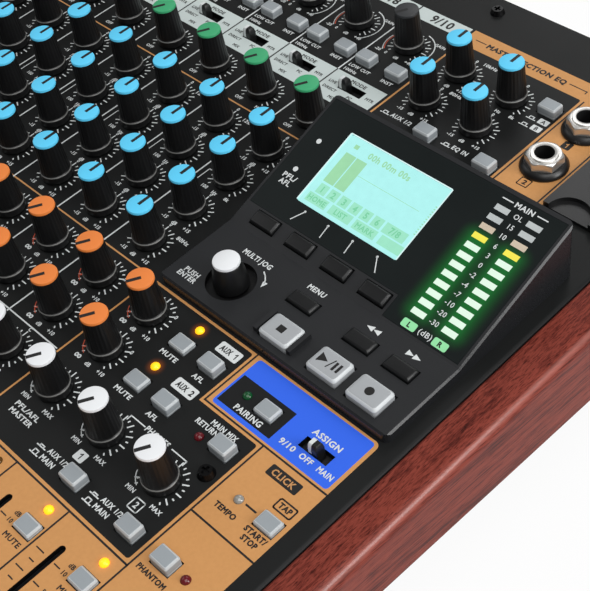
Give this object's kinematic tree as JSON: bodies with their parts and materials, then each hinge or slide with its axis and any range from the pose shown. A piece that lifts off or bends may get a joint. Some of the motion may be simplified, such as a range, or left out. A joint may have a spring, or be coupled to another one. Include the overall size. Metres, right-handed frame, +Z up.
{
  "type": "recording mixer",
  "caption": "Compact recording mixer: sloping control panel with knobs, faders and buttons, raised console with screen, meter and transport keys, wooden side cheeks.",
  "frame": {"origin": "on the table, under the middle of the outer box", "axes": "+X to the user's right, +Y to the rear sockets, +Z up"},
  "size_m": [0.343, 0.36, 0.0995],
  "materials": {
    "black_steel": "satin black powder coat with white print",
    "mahogany": "stained, semi-gloss lacquer",
    "charcoal_plastic": "fine moulded texture",
    "smoked_window": "clear smoked sheet, glossy",
    "screen": "backlit liquid crystal",
    "circuit_board": "solder mask",
    "dark_plastic": "moulded",
    "zinc_steel": "zinc plated",
    "knob_black": "moulded with fine flutes, coloured cap",
    "fader_black": "moulded with a white line",
    "key_black": "moulded",
    "button_grey": "moulded light grey",
    "lamp": "clear dome",
    "nickel": "nickel plated nut on a black bezel",
    "foot_rubber": "plain",
    "black_screw": "black oxide"
  },
  "bodies": {
    "root": {"base_pan": "black_steel", "top_panel": "black_steel", "left_cheek": "mahogany", "right_cheek": "mahogany", "console_shell": "charcoal_plastic", "display_window": "smoked_window", "display_module": "screen", "circuit_boards": "circuit_board", "board_components": "dark_plastic", "fader_tracks": "zinc_steel", "channel_knobs": "knob_black", "indicator_leds": "lamp", "phones_jacks": "nickel", "rear_connectors": "dark_plastic", "rubber_feet": "foot_rubber", "screws": "black_screw"},
    "fader_1": {"fader_1": "fader_black"},
    "fader_2": {"fader_2": "fader_black"},
    "fader_3": {"fader_3": "fader_black"},
    "fader_4": {"fader_4": "fader_black"},
    "fader_5": {"fader_5": "fader_black"},
    "fader_6": {"fader_6": "fader_black"},
    "fader_7_8": {"fader_7_8": "fader_black"},
    "fader_9_10": {"fader_9_10": "fader_black"},
    "fader_fx": {"fader_fx": "fader_black"},
    "fader_sub": {"fader_sub": "fader_black"},
    "fader_main": {"fader_main": "fader_black"},
    "comp_9_10_knob": {"comp_9_10_knob": "knob_black"},
    "aux_1_9_10_knob": {"aux_1_9_10_knob": "knob_black"},
    "aux_2_9_10_knob": {"aux_2_9_10_knob": "knob_black"},
    "aux_1_master_knob": {"aux_1_master_knob": "knob_black"},
    "aux_2_master_knob": {"aux_2_master_knob": "knob_black"},
    "monitor_knob": {"monitor_knob": "knob_black"},
    "phones_1_knob": {"phones_1_knob": "knob_black"},
    "phones_2_knob": {"phones_2_knob": "knob_black"},
    "high_9_10_knob": {"high_9_10_knob": "knob_black"},
    "mid_freq_9_10_knob": {"mid_freq_9_10_knob": "knob_black"},
    "mid_gain_9_10_knob": {"mid_gain_9_10_knob": "knob_black"},
    "low_9_10_knob": {"low_9_10_knob": "knob_black"},
    "eq_low_knob": {"eq_low_knob": "knob_black"},
    "eq_mid_knob": {"eq_mid_knob": "knob_black"},
    "eq_freq_knob": {"eq_freq_knob": "knob_black"},
    "eq_high_knob": {"eq_high_knob": "knob_black"},
    "jog_shaft": {"jog_shaft": "zinc_steel"},
    "jog_knob": {"jog_knob": "knob_black"},
    "stop_key": {"stop_key": "button_grey"},
    "play_key": {"play_key": "button_grey"},
    "record_key": {"record_key": "button_grey"},
    "menu_key": {"menu_key": "key_black"},
    "rewind_key": {"rewind_key": "key_black"},
    "forward_key": {"forward_key": "key_black"},
    "function_key_1": {"function_key_1": "key_black"},
    "function_key_2": {"function_key_2": "key_black"},
    "function_key_3": {"function_key_3": "key_black"},
    "function_key_4": {"function_key_4": "key_black"},
    "push_buttons": {"push_buttons": "button_grey"},
    "mode_switches": {"mode_switches": "dark_plastic"},
    "assign_switch": {"assign_switch": "dark_plastic"},
    "card_cover": {"card_cover": "charcoal_plastic"},
    "power_switch": {"power_switch": "dark_plastic"}
  },
  "joints": [
    {"name": "fader_1_slide", "type": "slide", "parent": "root", "child": "fader_1", "axis": [0, 0.9925, 0.1219], "range_m": [0, 0.06]},
    {"name": "fader_2_slide", "type": "slide", "parent": "root", "child": "fader_2", "axis": [0, 0.9925, 0.1219], "range_m": [0, 0.06]},
    {"name": "fader_3_slide", "type": "slide", "parent": "root", "child": "fader_3", "axis": [0, 0.9925, 0.1219], "range_m": [0, 0.06]},
    {"name": "fader_4_slide", "type": "slide", "parent": "root", "child": "fader_4", "axis": [0, 0.9925, 0.1219], "range_m": [0, 0.06]},
    {"name": "fader_5_slide", "type": "slide", "parent": "root", "child": "fader_5", "axis": [0, 0.9925, 0.1219], "range_m": [0, 0.06]},
    {"name": "fader_6_slide", "type": "slide", "parent": "root", "child": "fader_6", "axis": [0, 0.9925, 0.1219], "range_m": [0, 0.06]},
    {"name": "fader_7_8_slide", "type": "slide", "parent": "root", "child": "fader_7_8", "axis": [0, 0.9925, 0.1219], "range_m": [0, 0.06]},
    {"name": "fader_9_10_slide", "type": "slide", "parent": "root", "child": "fader_9_10", "axis": [0, 0.9925, 0.1219], "range_m": [0, 0.06]},
    {"name": "fader_fx_slide", "type": "slide", "parent": "root", "child": "fader_fx", "axis": [0, 0.9925, 0.1219], "range_m": [0, 0.06]},
    {"name": "fader_sub_slide", "type": "slide", "parent": "root", "child": "fader_sub", "axis": [0, 0.9925, 0.1219], "range_m": [0, 0.06]},
    {"name": "fader_main_slide", "type": "slide", "parent": "root", "child": "fader_main", "axis": [0, 0.9925, 0.1219], "range_m": [0, 0.06]},
    {"name": "comp_9_10_turn", "type": "hinge", "parent": "root", "child": "comp_9_10_knob", "pos_m": [0.0384, 0.08301, 0.076], "axis": [0, -0.1219, 0.9925], "range_deg": [-300, 0]},
    {"name": "aux_1_9_10_turn", "type": "hinge", "parent": "root", "child": "aux_1_9_10_knob", "pos_m": [0.0384, -0.01252, 0.06427], "axis": [0, -0.1219, 0.9925], "range_deg": [-300, 0]},
    {"name": "aux_2_9_10_turn", "type": "hinge", "parent": "root", "child": "aux_2_9_10_knob", "pos_m": [0.0384, -0.03043, 0.06207], "axis": [0, -0.1219, 0.9925], "range_deg": [-300, 0]},
    {"name": "aux_1_master_turn", "type": "hinge", "parent": "root", "child": "aux_1_master_knob", "pos_m": [0.06355, -0.01252, 0.06427], "axis": [0, -0.1219, 0.9925], "range_deg": [-300, 0]},
    {"name": "aux_2_master_turn", "type": "hinge", "parent": "root", "child": "aux_2_master_knob", "pos_m": [0.06355, -0.03043, 0.06207], "axis": [0, -0.1219, 0.9925], "range_deg": [-300, 0]},
    {"name": "monitor_turn", "type": "hinge", "parent": "root", "child": "monitor_knob", "pos_m": [0.06355, -0.05029, 0.05963], "axis": [0, -0.1219, 0.9925], "range_deg": [-300, 0]},
    {"name": "phones_1_turn", "type": "hinge", "parent": "root", "child": "phones_1_knob", "pos_m": [0.08845, -0.05029, 0.05963], "axis": [0, -0.1219, 0.9925], "range_deg": [-300, 0]},
    {"name": "phones_2_turn", "type": "hinge", "parent": "root", "child": "phones_2_knob", "pos_m": [0.11335, -0.05029, 0.05963], "axis": [0, -0.1219, 0.9925], "range_deg": [-300, 0]},
    {"name": "high_9_10_turn", "type": "hinge", "parent": "root", "child": "high_9_10_knob", "pos_m": [0.0384, 0.06177, 0.07339], "axis": [0, -0.1219, 0.9925], "range_deg": [-150, 150]},
    {"name": "mid_freq_9_10_turn", "type": "hinge", "parent": "root", "child": "mid_freq_9_10_knob", "pos_m": [0.0384, 0.04386, 0.07119], "axis": [0, -0.1219, 0.9925], "range_deg": [-150, 150]},
    {"name": "mid_gain_9_10_turn", "type": "hinge", "parent": "root", "child": "mid_gain_9_10_knob", "pos_m": [0.0384, 0.02594, 0.06899], "axis": [0, -0.1219, 0.9925], "range_deg": [-150, 150]},
    {"name": "low_9_10_turn", "type": "hinge", "parent": "root", "child": "low_9_10_knob", "pos_m": [0.0384, 0.00803, 0.06679], "axis": [0, -0.1219, 0.9925], "range_deg": [-150, 150]},
    {"name": "eq_low_turn", "type": "hinge", "parent": "root", "child": "eq_low_knob", "pos_m": [0.06385, 0.11388, 0.07979], "axis": [0, -0.1219, 0.9925], "range_deg": [-150, 150]},
    {"name": "eq_mid_turn", "type": "hinge", "parent": "root", "child": "eq_mid_knob", "pos_m": [0.08695, 0.11388, 0.07979], "axis": [0, -0.1219, 0.9925], "range_deg": [-150, 150]},
    {"name": "eq_freq_turn", "type": "hinge", "parent": "root", "child": "eq_freq_knob", "pos_m": [0.06385, 0.13284, 0.08211], "axis": [0, -0.1219, 0.9925], "range_deg": [-150, 150]},
    {"name": "eq_high_turn", "type": "hinge", "parent": "root", "child": "eq_high_knob", "pos_m": [0.08695, 0.13284, 0.08211], "axis": [0, -0.1219, 0.9925], "range_deg": [-150, 150]},
    {"name": "jog_push", "type": "slide", "parent": "root", "child": "jog_shaft", "axis": [0, 0.1219, -0.9925], "range_m": [0, 0.0005], "stiffness_N_per_m": 600},
    {"name": "jog_turn", "type": "hinge", "parent": "jog_shaft", "child": "jog_knob", "pos_m": [0.0757, 0.01049, 0.07092], "axis": [0, -0.1219, 0.9925], "continuous": true},
    {"name": "stop_press", "type": "slide", "parent": "root", "child": "stop_key", "axis": [0, 0.1219, -0.9925], "range_m": [0, 0.0008], "stiffness_N_per_m": 400},
    {"name": "play_press", "type": "slide", "parent": "root", "child": "play_key", "axis": [0, 0.1219, -0.9925], "range_m": [0, 0.0008], "stiffness_N_per_m": 400},
    {"name": "record_press", "type": "slide", "parent": "root", "child": "record_key", "axis": [0, 0.1219, -0.9925], "range_m": [0, 0.0008], "stiffness_N_per_m": 400},
    {"name": "menu_press", "type": "slide", "parent": "root", "child": "menu_key", "axis": [0, 0.1219, -0.9925], "range_m": [0, 0.0008], "stiffness_N_per_m": 400},
    {"name": "rewind_press", "type": "slide", "parent": "root", "child": "rewind_key", "axis": [0, 0.1219, -0.9925], "range_m": [0, 0.0008], "stiffness_N_per_m": 400},
    {"name": "forward_press", "type": "slide", "parent": "root", "child": "forward_key", "axis": [0, 0.1219, -0.9925], "range_m": [0, 0.0008], "stiffness_N_per_m": 400},
    {"name": "function_1_press", "type": "slide", "parent": "root", "child": "function_key_1", "axis": [0, 0.4326, -0.9016], "range_m": [0, 0.0008], "stiffness_N_per_m": 400},
    {"name": "function_2_press", "type": "slide", "parent": "root", "child": "function_key_2", "axis": [0, 0.4326, -0.9016], "range_m": [0, 0.0008], "stiffness_N_per_m": 400},
    {"name": "function_3_press", "type": "slide", "parent": "root", "child": "function_key_3", "axis": [0, 0.4326, -0.9016], "range_m": [0, 0.0008], "stiffness_N_per_m": 400},
    {"name": "function_4_press", "type": "slide", "parent": "root", "child": "function_key_4", "axis": [0, 0.4326, -0.9016], "range_m": [0, 0.0008], "stiffness_N_per_m": 400},
    {"name": "buttons_press", "type": "slide", "parent": "root", "child": "push_buttons", "axis": [0, 0.1219, -0.9925], "range_m": [0, 0.0015], "stiffness_N_per_m": 2000},
    {"name": "mode_slide", "type": "slide", "parent": "root", "child": "mode_switches", "axis": [1, 0, 0], "range_m": [0, 0.0064]},
    {"name": "assign_slide", "type": "slide", "parent": "root", "child": "assign_switch", "axis": [1, 0, 0], "range_m": [-0.0032, 0.0032]},
    {"name": "cover_hinge", "type": "hinge", "parent": "root", "child": "card_cover", "pos_m": [0.13775, 0.14217, 0.08487], "axis": [-1, 0, 0], "range_deg": [0, 100]},
    {"name": "power_rock", "type": "hinge", "parent": "root", "child": "power_switch", "pos_m": [0.1302, 0.17651, 0.027], "axis": [1, 0, 0], "range_deg": [-16, 0]}
  ]
}
